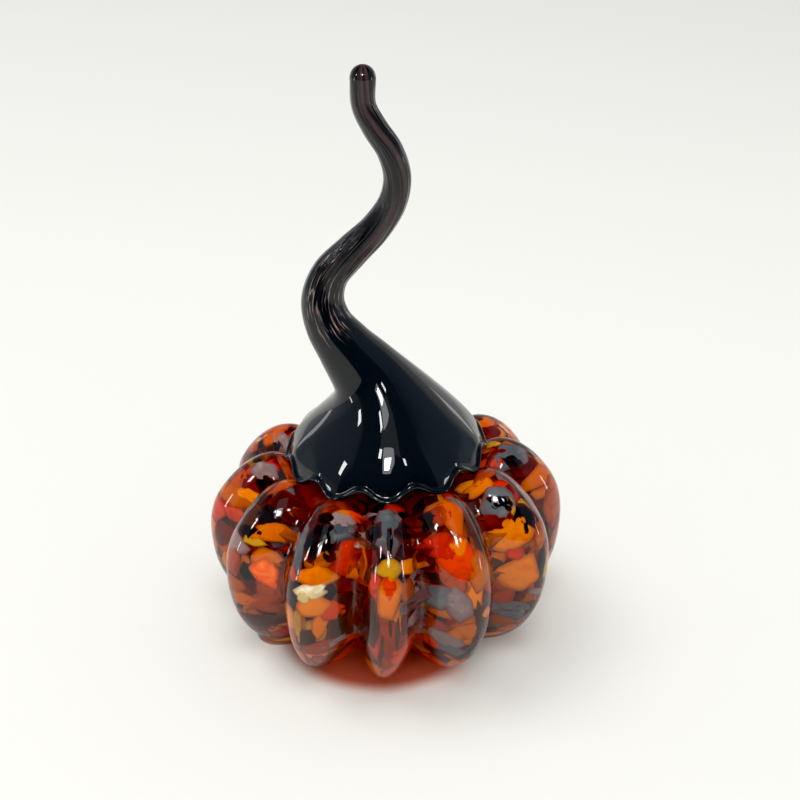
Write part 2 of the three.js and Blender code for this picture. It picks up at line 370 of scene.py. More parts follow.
def frit_material(name, dark, light, streak):
    """Glass chip: each has its own shade and clouds, and turns redder where its edge is thin."""
    mat, nodes, links = new_material(name)
    coords = nodes.new("ShaderNodeTexCoord")
    island = nodes.new("ShaderNodeNewGeometry")
    shade = mix_colours(nodes, links, island.outputs["Random Per Island"], dark, light)
    noise = noise_value(nodes, links, coords.outputs["Object"], *CLOUD_NOISE)
    clouds = map_range(nodes, links, noise, *CLOUD_RANGE, 0.0, CLOUD_MOST)
    cloudy = mix_colours(nodes, links, clouds, shade, streak)
    spread = nodes.new("ShaderNodeUVMap")
    split = nodes.new("ShaderNodeSeparateXYZ")
    links.new(spread.outputs["UV"], split.inputs["Vector"])
    thin = map_range(nodes, links, split.outputs["X"], *THIN_RANGE, 0.0, THIN_MOST)
    finish_frit(nodes, links, mix_colours(nodes, links, thin, cloudy, THIN_EDGE))
    return mat


def core_material():
    """Melted frit behind the chips: dark red and brown clouds."""
    mat, nodes, links = new_material("melted_core")
    coords = nodes.new("ShaderNodeTexCoord")
    broad = noise_value(nodes, links, coords.outputs["Object"], *CORE_RED_NOISE)
    fine = noise_value(nodes, links, coords.outputs["Object"], *CORE_BRIGHT_NOISE)
    red = map_range(nodes, links, broad, *CORE_RED_RANGE)
    glowing = map_range(nodes, links, fine, *CORE_BRIGHT_RANGE, 0.0, CORE_BRIGHT_MOST)
    deep = mix_colours(nodes, links, red, CORE_DARK, CORE_RED)
    finish_frit(nodes, links, mix_colours(nodes, links, glowing, deep, CORE_BRIGHT))
    return mat


def black_glass():
    """Very dark glass; the thin upper stem shows plum streaks and fine grooves along it, and its
    bend has painted highlights as pale pink specks.
    """
    mat, nodes, links = new_material("black_glass")
    shader = nodes["Principled BSDF"]
    shader.inputs["Roughness"].default_value = BLACK_ROUGHNESS
    shader.inputs["IOR"].default_value = GLASS_IOR
    shader.inputs["Specular IOR Level"].default_value = BLACK_SPECULAR
    coords = nodes.new("ShaderNodeUVMap")
    split = nodes.new("ShaderNodeSeparateXYZ")
    links.new(coords.outputs["UV"], split.inputs["Vector"])
    height = split.outputs["Y"]
    turn = math_node(nodes, links, "MULTIPLY_ADD", height, STEM_TWIST, split.outputs["X"])
    angle = math_node(nodes, links, "MULTIPLY", turn, 2 * math.pi)
    ring = nodes.new("ShaderNodeCombineXYZ")
    links.new(math_node(nodes, links, "COSINE", angle), ring.inputs["X"])
    links.new(math_node(nodes, links, "SINE", angle), ring.inputs["Y"])
    links.new(height, ring.inputs["Z"])
    lengthwise = ring.outputs["Vector"]
    streak_noise = noise_value(nodes, links, lengthwise, *STREAK_NOISE)
    streaks = map_range(nodes, links, streak_noise, *STREAK_RANGE)
    thin = map_range(nodes, links, height, *THIN_STEM)
    plum = math_node(nodes, links, "MULTIPLY", streaks, thin)
    navy = mix_colours(nodes, links, thin, CAP_NAVY, STEM_NAVY)
    tint = mix_colours(nodes, links, plum, navy, STREAK_PLUM)
    above_foot = map_range(nodes, links, height, *BEND_START)
    below_curl = map_range(nodes, links, height, *BEND_END, 1.0, 0.0)
    bend = math_node(nodes, links, "MULTIPLY", above_foot, below_curl)
    # Painted highlights: pale pink specks on the bend, standing in for glints of light.
    painted_glint_noise = noise_value(nodes, links, lengthwise, *PAINTED_GLINT_NOISE)
    painted_glints = map_range(nodes, links, painted_glint_noise, *PAINTED_GLINT_RANGE)
    painted_glint_mask = math_node(nodes, links, "MULTIPLY", painted_glints, bend)
    links.new(mix_colours(nodes, links, painted_glint_mask, tint, PAINTED_GLINT_PINK), shader.inputs["Base Color"])
    grooves = noise_value(nodes, links, lengthwise, *GROOVE_NOISE)
    below_tip = map_range(nodes, links, height, *STEM_TIP, GROOVE_STRENGTH, 0.0)
    bump = nodes.new("ShaderNodeBump")
    bump.inputs["Distance"].default_value = GROOVE_DEPTH
    links.new(math_node(nodes, links, "MULTIPLY", thin, below_tip), bump.inputs["Strength"])
    links.new(grooves, bump.inputs["Height"])
    links.new(bump.outputs["Normal"], shader.inputs["Normal"])
    return mat


# Camera at the photograph's angle.
CAMERA_TARGET = Vector((2.8, 0, 48)) * MM
CAMERA_AZIMUTH = math.radians(1.64)
CAMERA_ELEVATION = math.radians(27.53)
CAMERA_DISTANCE = 275.9 * MM
FOCAL_PIXELS = 1437.9
IMAGE_PIXELS = 800
SENSOR_WIDTH = 36
CLIP_START = 0.01


def add_camera():
    """Camera that frames the pumpkin as the photograph does."""
    data = bpy.data.cameras.new("camera")
    data.sensor_width = SENSOR_WIDTH
    data.lens = SENSOR_WIDTH * FOCAL_PIXELS / IMAGE_PIXELS
    data.clip_start = CLIP_START
    camera = bpy.data.objects.new("camera", data)
    towards = Vector((
        -math.sin(CAMERA_AZIMUTH) * math.cos(CAMERA_ELEVATION),
        -math.cos(CAMERA_AZIMUTH) * math.cos(CAMERA_ELEVATION),
        math.sin(CAMERA_ELEVATION),
    ))
    turn = towards.to_track_quat("Z", "Y").to_matrix().to_4x4()
    camera.matrix_world = Matrix.Translation(CAMERA_TARGET + towards * CAMERA_DISTANCE) @ turn
    bpy.context.collection.objects.link(camera)
    bpy.context.scene.camera = camera


add_camera()

# Glass casing.
RINGS_PER_STATION = 8
RIB_STEPS = 32
TOP_STAGE = LAST_STAGE * RINGS_PER_STATION


def angles_over_ribs(steps):
    """Angles round the body, evenly spread over each rib."""
    ends = np.append(VALLEY_ANGLES[1:], VALLEY_ANGLES[0] + 360)
    spread = [np.linspace(start, end, steps, endpoint=False)
              for start, end in zip(VALLEY_ANGLES, ends)]
    return np.radians(np.concatenate(spread))


def add_casing():
    """The body's outer surface in clear glass."""
    angles = angles_over_ribs(RIB_STEPS)
    stages = np.arange(TOP_STAGE) / RINGS_PER_STATION
    rings = [body_point(np.full_like(angles, stage), angles) for stage in stages]
    points, faces = closed_rings(rings, (0, 0, 0), (0, 0, CREST[-1][1]))
    casing = new_object("glass_casing", points, faces)
    casing.data.materials.append(clear_glass())
    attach(casing, "root")
    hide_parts("pumpkin_body")


# Melted core behind the chips.
CORE_DEPTH = 3.1
CORE_FLOOR = 2.6
CORE_STAGES = (1.6, 10.4)
CORE_RINGS = 90
CORE_RIB_STEPS = 16


def add_core():
    """Closed body below the ribs' surface, kept off the base."""
    angles = angles_over_ribs(CORE_RIB_STEPS)
    rings = []
    for stage in np.linspace(*CORE_STAGES, CORE_RINGS):
        stages = np.full_like(angles, stage)
        ring = body_point(stages, angles) - body_normal(stages, angles) * CORE_DEPTH
        ring[:, 2] = np.maximum(ring[:, 2], CORE_FLOOR)
        rings.append(ring)
    bottom = (0, 0, rings[0][:, 2].min())
    top = (0, 0, rings[-1][:, 2].mean())
    points, faces = closed_rings(rings, bottom, top)
    core = new_object("melted_core", points, faces)
    core.data.materials.append(core_material())
    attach(core, "root")


# Frit chips: dark shade, light shade and streak of each colour, and its share of the filling.
FRIT = {
    "orange": ((0.40, 0.058, 0.0003), (0.68, 0.19, 0.0005), (0.50, 0.08, 0.0003), 0.25),
    "amber": ((0.27, 0.042, 0.0003), (0.48, 0.11, 0.0005), (0.11, 0.012, 0.0003), 0.12),
    "red": ((0.36, 0.008, 0.0002), (0.58, 0.04, 0.0003), (0.18, 0.003, 0.0002), 0.17),
    "ruby": ((0.035, 0.001, 0.0003), (0.14, 0.004, 0.0005), (0.012, 0.0006, 0.0003), 0.20),
    "black": ((0.0005, 0.0005, 0.001), (0.003, 0.0025, 0.004), (0.008, 0.004, 0.004), 0.13),
    "slate": ((0.035, 0.048, 0.062), (0.085, 0.10, 0.12), (0.15, 0.145, 0.15), 0.03),
    "lilac": ((0.13, 0.09, 0.10), (0.23, 0.16, 0.16), (0.28, 0.22, 0.21), 0.03),
    "mustard": ((0.32, 0.14, 0.004), (0.46, 0.25, 0.012), (0.50, 0.32, 0.03), 0.02),
    "salmon": ((0.24, 0.022, 0.003), (0.40, 0.07, 0.014), (0.12, 0.010, 0.003), 0.06),
    "brown": ((0.025, 0.006, 0.002), (0.07, 0.018, 0.004), (0.012, 0.004, 0.001), 0.07),
    "cream": ((0.5, 0.40, 0.14), (0.62, 0.54, 0.28), (0.85, 0.83, 0.72), 0.0),
    # The glow chip is painted light: a bright orange spot where light shines through the glass.
    "glow": ((0.78, 0.06, 0.0005), (0.9, 0.12, 0.001), (1.0, 0.34, 0.02), 0.0),
}
CHIP_RINGS = (0.4, 0.75, 0.93, 1.0)
CHIP_DROPS = (0.0, 0.01, 0.05, 0.14)
CHIP_UNDERSIDE = 0.2
CUT_CORNERS = 2
CUT_SHARE = 0.12
SHARD_CORNERS = (5, 8)
CORNER_SHIFT = 0.35
CORNER_REACH = (0.44, 0.7)

# In millimetres climbed: no chip reaches lower than the first, and the middle of each
# scattered one stays below the second.
CLIMB_START = 2.0
CLIMB_END = 58.0


def cut_corners(loop):
    """Rounds a closed outline by cutting its corners."""
    for _ in range(CUT_CORNERS):
        following = np.roll(loop, -1, axis=0)
        loop = np.stack([
            (1 - CUT_SHARE) * loop + CUT_SHARE * following,
            CUT_SHARE * loop + (1 - CUT_SHARE) * following,
        ], 1)
        loop = loop.reshape(-1, 2)
    return loop


def shard_outline():
    """Broken shard with blunted corners about the origin, about 1 across each way."""
    corners = rng.integers(*SHARD_CORNERS)
    spacing = np.linspace(0, 2 * math.pi, corners, endpoint=False)
    turn = spacing + rng.uniform(-CORNER_SHIFT, CORNER_SHIFT, corners)
    reach = rng.uniform(*CORNER_REACH, corners)
    return cut_corners(np.stack([np.cos(turn) * reach, np.sin(turn) * reach], -1))


class ChipStore:
    """Collects the chips of one colour in one mesh."""

    def __init__(self):
        self.points = []
        self.spreads = []
        self.faces = []
        self.count = 0

    def add(self, angle, climb, outline, depth):
        """Adds one chip; its outline is in millimetres across and up the glass."""
        around = len(outline)
        flat = np.vstack([np.zeros((1, 2))] + [outline * share for share in CHIP_RINGS])
        flat = np.vstack([flat, np.zeros((1, 2))])
        drops = np.concatenate([[0], np.repeat(CHIP_DROPS, around), [CHIP_UNDERSIDE]])
        self.spreads.append(np.concatenate([[0], np.repeat(CHIP_RINGS, around), [1]]))
        angles = angle + flat[:, 0] / radius_at(angle, climb)
        climbs = np.clip(climb + flat[:, 1], CLIMB_START, CLIMB_TABLE[-1])
        self.points.append(inside_point(angles, climbs, depth + drops))
        top = self.count
        bottom = top + len(flat) - 1
        last = top + 1 + (len(CHIP_RINGS) - 1) * around
        for j in range(around):
            k = (j + 1) % around
            self.faces.append((top, top + 1 + j, top + 1 + k))
            self.faces.append((bottom, last + k, last + j))
            for i in range(len(CHIP_RINGS) - 1):
                inner = top + 1 + i * around
                outer = inner + around
                self.faces.append((inner + j, outer + j, outer + k, inner + k))
        self.count += len(flat)


# Chips that stand out on the front ribs: angle in degrees, distance climbed, width, height
# in millimetres, lean in degrees and colour. Later ones lie nearer to the surface.
FRONT_CHIPS = [
    # Front rib.
    (0, 24, 7, 15, 0, "salmon"), (-3, 23, 1.6, 11, 0, "brown"), (3.5, 26, 1.3, 9, 0, "brown"),
    (0.5, 30, 1.2, 7, 3, "brown"), (-8, 30, 4, 14, 0, "ruby"), (-10.5, 39, 3, 6, 0, "brown"),
    (8, 28, 3.2, 8, 0, "ruby"), (8, 40.5, 2.8, 4.2, 0, "orange"), (7.3, 35.5, 3, 7, 5, "amber"),
    (-8.5, 43, 2.8, 5, 0, "ruby"), (9, 44, 2.6, 4, 0, "black"), (0.5, 50, 8, 11, 0, "slate"),
    (0.5, 46.5, 2.4, 6.5, 0, "black"), (-7.5, 48.5, 3.2, 6, 0, "black"),
    (8.5, 48.8, 3.8, 5, 0, "black"), (-0.5, 36, 6.8, 8.8, 0, "orange"),
    (0, 37.5, 3.9, 4.2, 0, "red"), (0, 41.6, 6.9, 4.2, 0, "mustard"),
    # First rib on the right.
    (13, 24.5, 6, 5, 8, "salmon"), (10, 28, 3.4, 4.2, 20, "lilac"), (14, 19, 6, 3, 0, "red"),
    (24, 24.5, 7, 4.5, 12, "amber"), (29.5, 27.5, 1.6, 7, 4, "brown"),
    (19, 21.8, 7, 4, -10, "lilac"), (21.5, 19, 5.5, 3.4, -14, "slate"),
    (14, 36.6, 4, 3.4, 0, "black"), (20, 36.2, 5, 3, -30, "salmon"), (31, 37.5, 6.5, 8, 0, "amber"),
    (35.5, 45.5, 3, 12, -6, "brown"), (39, 46, 2, 9, -8, "slate"), (23, 41, 8, 11, 0, "red"),
    (18.5, 43.5, 6, 6, -10, "red"), (24.5, 43, 5, 4, 20, "orange"), (15, 50.5, 4.2, 6, 0, "black"),
    (22, 53.5, 6, 3, 0, "amber"), (22.3, 51, 4, 6, -12, "salmon"),
    (27, 49.5, 6, 8.4, -12, "orange"), (14.5, 32.2, 8.2, 6, -6, "slate"),
    (22.5, 31.5, 5.4, 8, 22, "lilac"),
    # Second rib on the right.
    (46, 26, 4, 10, 0, "salmon"), (58, 21, 9, 4, -8, "brown"), (51.5, 20.5, 9.4, 5, -10, "slate"),
    (57, 25, 6, 1.6, -20, "lilac"), (51, 53.5, 5, 4.6, 0, "orange"), (58, 54.5, 8, 4, -8, "salmon"),
    (58.5, 31.5, 4, 7.5, 0, "black"), (63, 29, 4, 7, 0, "mustard"), (60.5, 37, 6, 5, 10, "amber"),
    (56.5, 42, 6, 6.5, -10, "black"), (66, 45, 3.2, 16, -6, "lilac"), (47, 43.5, 5, 5.6, 0, "ruby"),
    (49.5, 40.3, 8.4, 8, 0, "orange"), (54, 46, 1.8, 5, -8, "mustard"),
    (50.5, 30.5, 7.4, 6.8, 14, "orange"), (49, 35.2, 3, 3, 0, "red"),
    (51.5, 47.2, 7, 7, 0, "slate"), (51.5, 47.2, 4.6, 5, 20, "black"),
    # Third rib on the right.
    (77, 53, 9, 7, 0, "ruby"), (79, 52.5, 3, 4, 30, "red"), (89, 34, 8, 13, 0, "salmon"),
    (90, 27, 7, 7, 0, "amber"), (84.5, 42, 8, 5, -12, "orange"), (84.5, 50, 9, 8, -30, "slate"),
    (82, 49.5, 2.6, 5, 8, "black"),
    # First rib on the left.
    (-15, 27, 5, 13, 0, "brown"), (-18.5, 30.5, 4.2, 6, 20, "red"),
    (-17, 21.6, 5.6, 2.4, 8, "lilac"), (-23, 21, 8, 4.4, 0, "salmon"),
    (-12.5, 41, 3, 8, 0, "orange"), (-15, 43, 3.2, 9, 4, "red"), (-27, 24.5, 5, 6.6, 0, "brown"),
    (-30, 27, 2.4, 10, 0, "mustard"), (-22, 27.5, 2.4, 6, 0, "orange"),
    (-24, 32.3, 6.4, 5.6, 0, "orange"), (-24.5, 38.8, 9, 5, 0, "orange"),
    (-24, 42.8, 8, 4.6, 6, "amber"), (-18.5, 53.2, 3.6, 3, 0, "amber"),
    (-15.5, 53.5, 3.4, 4, 0, "red"), (-33.5, 43, 2.8, 11, 10, "slate"),
    (-19.5, 48.5, 5, 6.4, 0, "slate"), (-26, 46, 8.6, 9, 12, "black"),
    (-20.5, 51.2, 5.4, 3.8, 14, "lilac"), (-27, 50.5, 5, 3.6, 0, "black"),
    (-25, 35.4, 7.8, 3.0, 6, "cream"), (-27.2, 34.2, 3.2, 2.6, -20, "cream"),
    (-22.4, 36.3, 3.4, 2.0, 30, "cream"),
    # Second rib on the left.
    (-53, 19.5, 10, 4.4, 0, "ruby"), (-48.5, 25, 6.4, 6, 0, "salmon"),
    (-45.5, 31, 4, 10, 0, "salmon"), (-62, 24, 5, 6, 0, "lilac"), (-56, 26.3, 6, 4.4, 0, "orange"),
    (-58.5, 29.4, 7, 4.4, 0, "amber"), (-60, 34.5, 6.4, 6, 0, "salmon"),
    (-60, 38.6, 8.4, 3.8, 0, "lilac"), (-53, 40.6, 6, 2.4, 0, "mustard"),
    (-57, 42, 7, 3.2, 0, "black"), (-60, 45.3, 7, 5.6, 0, "brown"), (-49, 50, 9, 8, 0, "ruby"),
    (-53.5, 46.6, 8, 5, -8, "black"), (-47.5, 43.2, 8.4, 5.6, 14, "orange"),
    # The glow chip here is a painted spot of light shining through the glass.
    (-42.5, 50, 5, 4.2, 0, "orange"), (-47.5, 33.4, 3.8, 9, 10, "glow"),
    # Third rib on the left.
    (-86, 45.5, 5, 6, 0, "salmon"), (-80, 56, 6, 3.6, 0, "salmon"), (-71, 50.5, 5, 5, 0, "orange"),
    (-81.5, 46.5, 5, 4, 0, "ruby"), (-85, 41.6, 8.6, 5, 0, "amber"),
    (-78, 43.8, 6, 3.6, 0, "orange"), (-88, 36.6, 6.6, 5.6, 0, "red"), (-80, 38, 5, 4, 0, "red"),
    (-95, 33.5, 4, 4, 0, "black"), (-90, 28, 6, 5, 0, "amber"), (-83.5, 50.5, 5, 6.4, 20, "lilac"),
    (-77.5, 49, 5, 5.4, 0, "black"),
    # Ribs that show behind the cap.
    (-115, 50, 5, 7, 0, "orange"), (-110, 52, 6, 5, 0, "lilac"), (-108, 51, 3.4, 3, 0, "black"),
    (-122, 50, 7, 8, 0, "salmon"), (118, 52, 4, 7, 10, "orange"), (125, 50, 6, 8, 0, "brown"),
    (111, 51, 4, 6, 0, "ruby"), (152, 50, 9, 10, 0, "slate"), (-150, 50, 9, 10, 0, "slate"),
]
FRONT_DEEPEST = 1.75
FRONT_NEAREST = 0.95

# Filling chips, which cover the rest of the glass.
FILL_COUNT = 900
FILL_DEPTHS = (1.75, 2.75)
FILL_SIZES = (3.4, 7.5)
SMALL_COUNT = 260
SMALL_DEPTHS = (1.2, 1.7)
SMALL_SIZES = (1.3, 3.0)
FILL_SLIMNESS = (0.5, 1.0)
FILL_LEAN = 40

# Small chips keep off the front, up to this angle, where the chips are listed.
LISTED_ANGLE = 95


def random_spot():
    """Angle and climb, spread evenly over the glass."""
    while True:
        angle = rng.uniform(0, 2 * math.pi)
        climb = rng.uniform(CLIMB_START + 1, CLIMB_END)
        radius = radius_at(angle, climb)
        if rng.uniform() * WIDEST_RADIUS < radius:
            return angle, climb


def on_listed_front(angle):
    """Whether an angle lies where FRONT_CHIPS covers the glass."""
    degrees = (math.degrees(angle) + 180) % 360 - 180
    return abs(degrees) < LISTED_ANGLE


def turned(outline, degrees):
    """The outline turned about the origin."""
    c = math.cos(math.radians(degrees))
    s = math.sin(math.radians(degrees))
    return outline @ np.array([[c, s], [-s, c]])


def scatter(stores, count, sizes, depths, skip_front=False):
    """Strews chips at random over the glass, from the deepest to the nearest."""
    names = [name for name in FRIT if FRIT[name][3] > 0]
    weights = np.array([FRIT[name][3] for name in names])
    for depth in np.linspace(depths[1], depths[0], count):
        angle, climb = random_spot()
        name = str(rng.choice(names, p=weights / weights.sum()))
        height = rng.uniform(*sizes)
        width = height * rng.uniform(*FILL_SLIMNESS)
        outline = turned(shard_outline() * (width, height), rng.uniform(-FILL_LEAN, FILL_LEAN))
        if skip_front and on_listed_front(angle):
            continue
        stores[name].add(angle, climb, outline, depth)


def add_chips():
    """All chips, with one mesh for each colour; later chips lie nearer to the surface."""
    stores = {name: ChipStore() for name in FRIT}
    scatter(stores, FILL_COUNT, FILL_SIZES, FILL_DEPTHS)
    scatter(stores, SMALL_COUNT, SMALL_SIZES, SMALL_DEPTHS, skip_front=True)
    depths = np.linspace(FRONT_DEEPEST, FRONT_NEAREST, len(FRONT_CHIPS))
    for depth, (degrees, climb, width, height, lean, name) in zip(depths, FRONT_CHIPS):
        outline = turned(shard_outline() * (width, height), lean)
        stores[name].add(math.radians(degrees), climb, outline, depth)
    for name, store in stores.items():
        chips = new_object("frit_" + name, np.vstack(store.points), store.faces)
        chips.data.materials.append(frit_material("frit_" + name, *FRIT[name][:3]))
        spread = np.concatenate(store.spreads)[loop_vertices(chips)]
        add_uv(chips, "spread", spread, spread)
        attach(chips, "root")


add_casing()
add_core()
add_chips()

# Cap and stem, in millimetres. Each row of the path is a centre and a radius.
CAP_POINT_RADII = [20.2, 20.6, 20, 19.9, 19.8, 19.6, 19.8, 19.7, 19.8, 19.8, 19.7, 20.3]
CAP_ARCH_RADIUS = 19.2
CAP_ARCH_HEIGHT = 38.2
CAP_POINT_SHARPNESS = 1.35
CAP_POINT_THICKNESS = 1
CAP_ARCH_THICKNESS = 1.6
RIM_UNDERCUT = 0.7
RIM_TOP_INSET = 0.8
ALCOVE_DEPTH = 6.8
RIM_MEAN_RADIUS = 18.8
RIM_MEAN_HEIGHT = 39.6
RIM_WAVE_REACH = 0.4
CAP_LEAVE_INWARD = 4
CAP_LEAVE_UPWARD = 10
CAP_ARRIVE_LENGTH = 13
FOOT_STEP = 0.001
# How far the cap sinks into the casing, so that they look fused.
SINK = 0.12
STEM_PATH = np.array([
    [-4.6, 0, 55.4, 6.6], [-7.6, 0, 59.6, 5.45], [-10.45, 0.4, 64.1, 4.55], [-11.5, 1, 68.7, 4.05],
    [-10.15, 1.4, 73.4, 3.55], [-6.15, 1.2, 78, 3.2], [-1.5, 0.6, 83, 2.85],
    [1.45, -0.1, 88, 2.6], [2.3, -0.7, 92.9, 2.5], [1.05, -1, 97.7, 2.4],
    [-1.75, -0.9, 102.2, 2.28], [-3.5, -0.5, 105.9, 2.18], [-3.6, -0.2, 110.6, 2.3],
])
TIP_TRIM = 0.03
CAP_SEGMENTS = 288
UNDER_RINGS = 18
LIP_SWEEP = 70
LIP_RINGS = 9
CAP_RINGS = 40
STEM_RINGS = 150
TIP_RINGS = 8
HALVINGS = 30
HEADING_STEP = 1e-4
MIDDLE_RADIUS = 0.01


def top_height(radius, angle):
    """Height of the body's top at one radius, found by halving between two stages."""
    low = np.full_like(radius, float(WIDEST_STATION))
    high = np.full_like(radius, float(LAST_STAGE))
    for _ in range(HALVINGS):
        middle = (low + high) / 2
        outside = body_outline(middle, angle)[0] > radius
        low = np.where(outside, middle, low)
        high = np.where(outside, high, middle)
    return body_outline(low, angle)[1]


def stem_line(share):
    """Centre and radius along the stem, on a smooth curve through the path."""
    before = 2 * STEM_PATH[0] - STEM_PATH[1]
    after = 2 * STEM_PATH[-1] - STEM_PATH[-2]
    padded = np.vstack([before, STEM_PATH, after])
    position = min(share, 1 - TINY) * (len(STEM_PATH) - 1)
    index = int(position)
    p = padded[index:index + 4]
    knots = [0.0]
    for a, b in zip(p[:-1], p[1:]):
        knots.append(knots[-1] + np.linalg.norm((b - a)[:3]) ** 0.5)
    t = knots[1] + (position - index) * (knots[2] - knots[1])

    def blend(a, b, start, end):
        return a * (end - t) / (end - start) + b * (t - start) / (end - start)

    a1 = blend(p[0], p[1], knots[0], knots[1])
    a2 = blend(p[1], p[2], knots[1], knots[2])
    a3 = blend(p[2], p[3], knots[2], knots[3])
    b1 = blend(a1, a2, knots[0], knots[2])
    b2 = blend(a2, a3, knots[1], knots[3])
    here = blend(b1, b2, knots[1], knots[2])
    here[3] = smooth_between(*padded[index:index + 4, 3], position - index)
    return here


def stem_ring(share, angles, radius=None, lift=0.0):
    """Ring of points round the stem, and the way the stem heads there."""
    here = stem_line(share)
    ahead = stem_line(min(share + HEADING_STEP, 1))[:3]
    heading = ahead - stem_line(max(share - HEADING_STEP, 0))[:3]
    heading = heading / np.linalg.norm(heading)
    right = np.cross(heading, (0, -1, 0))
    right = right / np.linalg.norm(right)
    front = np.cross(right, heading)
    radius = here[3] if radius is None else radius
    centre = here[:3] + heading * lift
    ring = centre + radius * (np.sin(angles)[:, None] * right + np.cos(angles)[:, None] * front)
    return ring, heading


def cap_rings(angles):
    """Rings of the cap, from the middle of its underside round the lip to the stem's foot."""
    point_share = (0.5 + 0.5 * np.cos(RIB_COUNT * angles)) ** CAP_POINT_SHARPNESS
    nearest = np.round(angles / (2 * math.pi) * RIB_COUNT).astype(int) % RIB_COUNT
    reach = np.array(CAP_POINT_RADII)[nearest]
    rim_radius = CAP_ARCH_RADIUS * (1 - point_share) + reach * point_share
    resting = top_height(rim_radius - RIM_UNDERCUT, angles) - SINK
    lower = np.maximum(CAP_ARCH_HEIGHT, resting) * (1 - point_share) + resting * point_share
    thickness = CAP_ARCH_THICKNESS * (1 - point_share) + CAP_POINT_THICKNESS * point_share
    rings = []
    for i in range(1, UNDER_RINGS + 1):
        inner = (rim_radius - RIM_UNDERCUT) * math.sqrt(i / UNDER_RINGS)
        from_edge = np.minimum((rim_radius - RIM_UNDERCUT - inner) / ALCOVE_DEPTH, 1)
        lift = (lower - resting) * (1 - from_edge**2)
        rings.append(place(angles, inner, top_height(inner, angles) - SINK + lift))
    for turn in np.radians(np.linspace(-LIP_SWEEP, LIP_SWEEP, LIP_RINGS)):
        inset = RIM_UNDERCUT if turn < 0 else RIM_TOP_INSET
        radius = rim_radius - inset * (1 - math.cos(turn))
        rings.append(place(angles, radius, lower + thickness * (0.5 + 0.5 * math.sin(turn))))
    foot = stem_ring(0, angles)[0]
    arrive = stem_ring(FOOT_STEP, angles)[0] - foot
    arrive *= CAP_ARRIVE_LENGTH / np.linalg.norm(arrive, axis=1, keepdims=True)
    mean = place(angles, RIM_MEAN_RADIUS, np.full_like(angles, float(RIM_MEAN_HEIGHT)))
    leave = np.stack([
        -CAP_LEAVE_INWARD * np.sin(angles),
        CAP_LEAVE_INWARD * np.cos(angles),
        np.full_like(angles, float(CAP_LEAVE_UPWARD)),
    ], -1)
    wave = place(angles, rim_radius - RIM_TOP_INSET, lower + thickness) - mean
    for t in np.arange(CAP_RINGS) / CAP_RINGS:
        ring = (
            mean * (2 * t**3 - 3 * t**2 + 1)
            + leave * (t**3 - 2 * t**2 + t)
            + foot * (3 * t**2 - 2 * t**3)
            + arrive * (t**3 - t**2)
        )
        rings.append(ring + wave * max(1 - t / RIM_WAVE_REACH, 0) ** 2)
    return rings


def add_stem():
    """Cap, stem and rounded tip as one closed surface."""
    angles = np.linspace(0, 2 * math.pi, CAP_SEGMENTS, endpoint=False)
    rings = cap_rings(angles)
    cap_count = len(rings)
    for share in np.linspace(0, 1, STEM_RINGS + 1):
        rings.append(stem_ring(share, angles)[0])
    tip_radius = STEM_PATH[-1][3] - TIP_TRIM
    for turn in np.linspace(0, math.pi / 2, TIP_RINGS, endpoint=False)[1:]:
        radius = tip_radius * math.cos(turn)
        rings.append(stem_ring(1, angles, radius, tip_radius * math.sin(turn))[0])
    tip = stem_line(1)[:3] + stem_ring(1, angles)[1] * tip_radius
    middle = float(top_height(np.array([MIDDLE_RADIUS]), np.array([0.0]))[0]) - SINK
    points, faces = closed_rings(rings, (0, 0, middle), tip)
    stem = new_object("black_stem", points, faces)
    loops = loop_vertices(stem)
    ring_index = np.minimum(loops // CAP_SEGMENTS, len(rings) - 1)
    columns = loops % CAP_SEGMENTS
    quads = columns[:4 * (len(rings) - 1) * CAP_SEGMENTS].reshape(-1, 4)
    wraps = (quads.max(axis=1) == CAP_SEGMENTS - 1) & (quads.min(axis=1) == 0)
    quads[wraps[:, None] & (quads == 0)] = CAP_SEGMENTS
    across = columns / CAP_SEGMENTS
    along_share = np.clip((ring_index - cap_count + CAP_RINGS) / (STEM_RINGS + CAP_RINGS), 0, 1)
    add_uv(stem, "around_and_along", across, along_share)
    stem.data.materials.append(black_glass())
    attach(stem, "root")
    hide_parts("stem")


add_stem()


# Floor, surroundings and lights.
FLOOR_SIZE = 3.0
FLOOR_DROP = 0.00005
PAPER = (0.80, 0.80, 0.765)
# Painted shade: the paper is a little darker far away.
PAPER_FAR_PAINTED_SHADE = (0.76, 0.765, 0.735)
# Painted red-brown shadow under the front of the glass.
PAPER_PAINTED_RED_SHADOW = (0.42, 0.10, 0.055)
PAPER_ROUGHNESS = 0.75
PAPER_SPECULAR = 0.25
# Painted shade: the paper darkens from the first to the second distance back, in metres.
FAR_PAINTED_SHADE_RANGE = (0.05, 0.45)
# Painted red-brown shadow: where orange light would come through the glass, the paper's own colour
# is turned red-brown under the front.
PAINTED_RED_SHADOW_CENTRE = (-0.0015, -0.0082, 0)
PAINTED_RED_SHADOW_EDGE = (0.0165, 0.021)


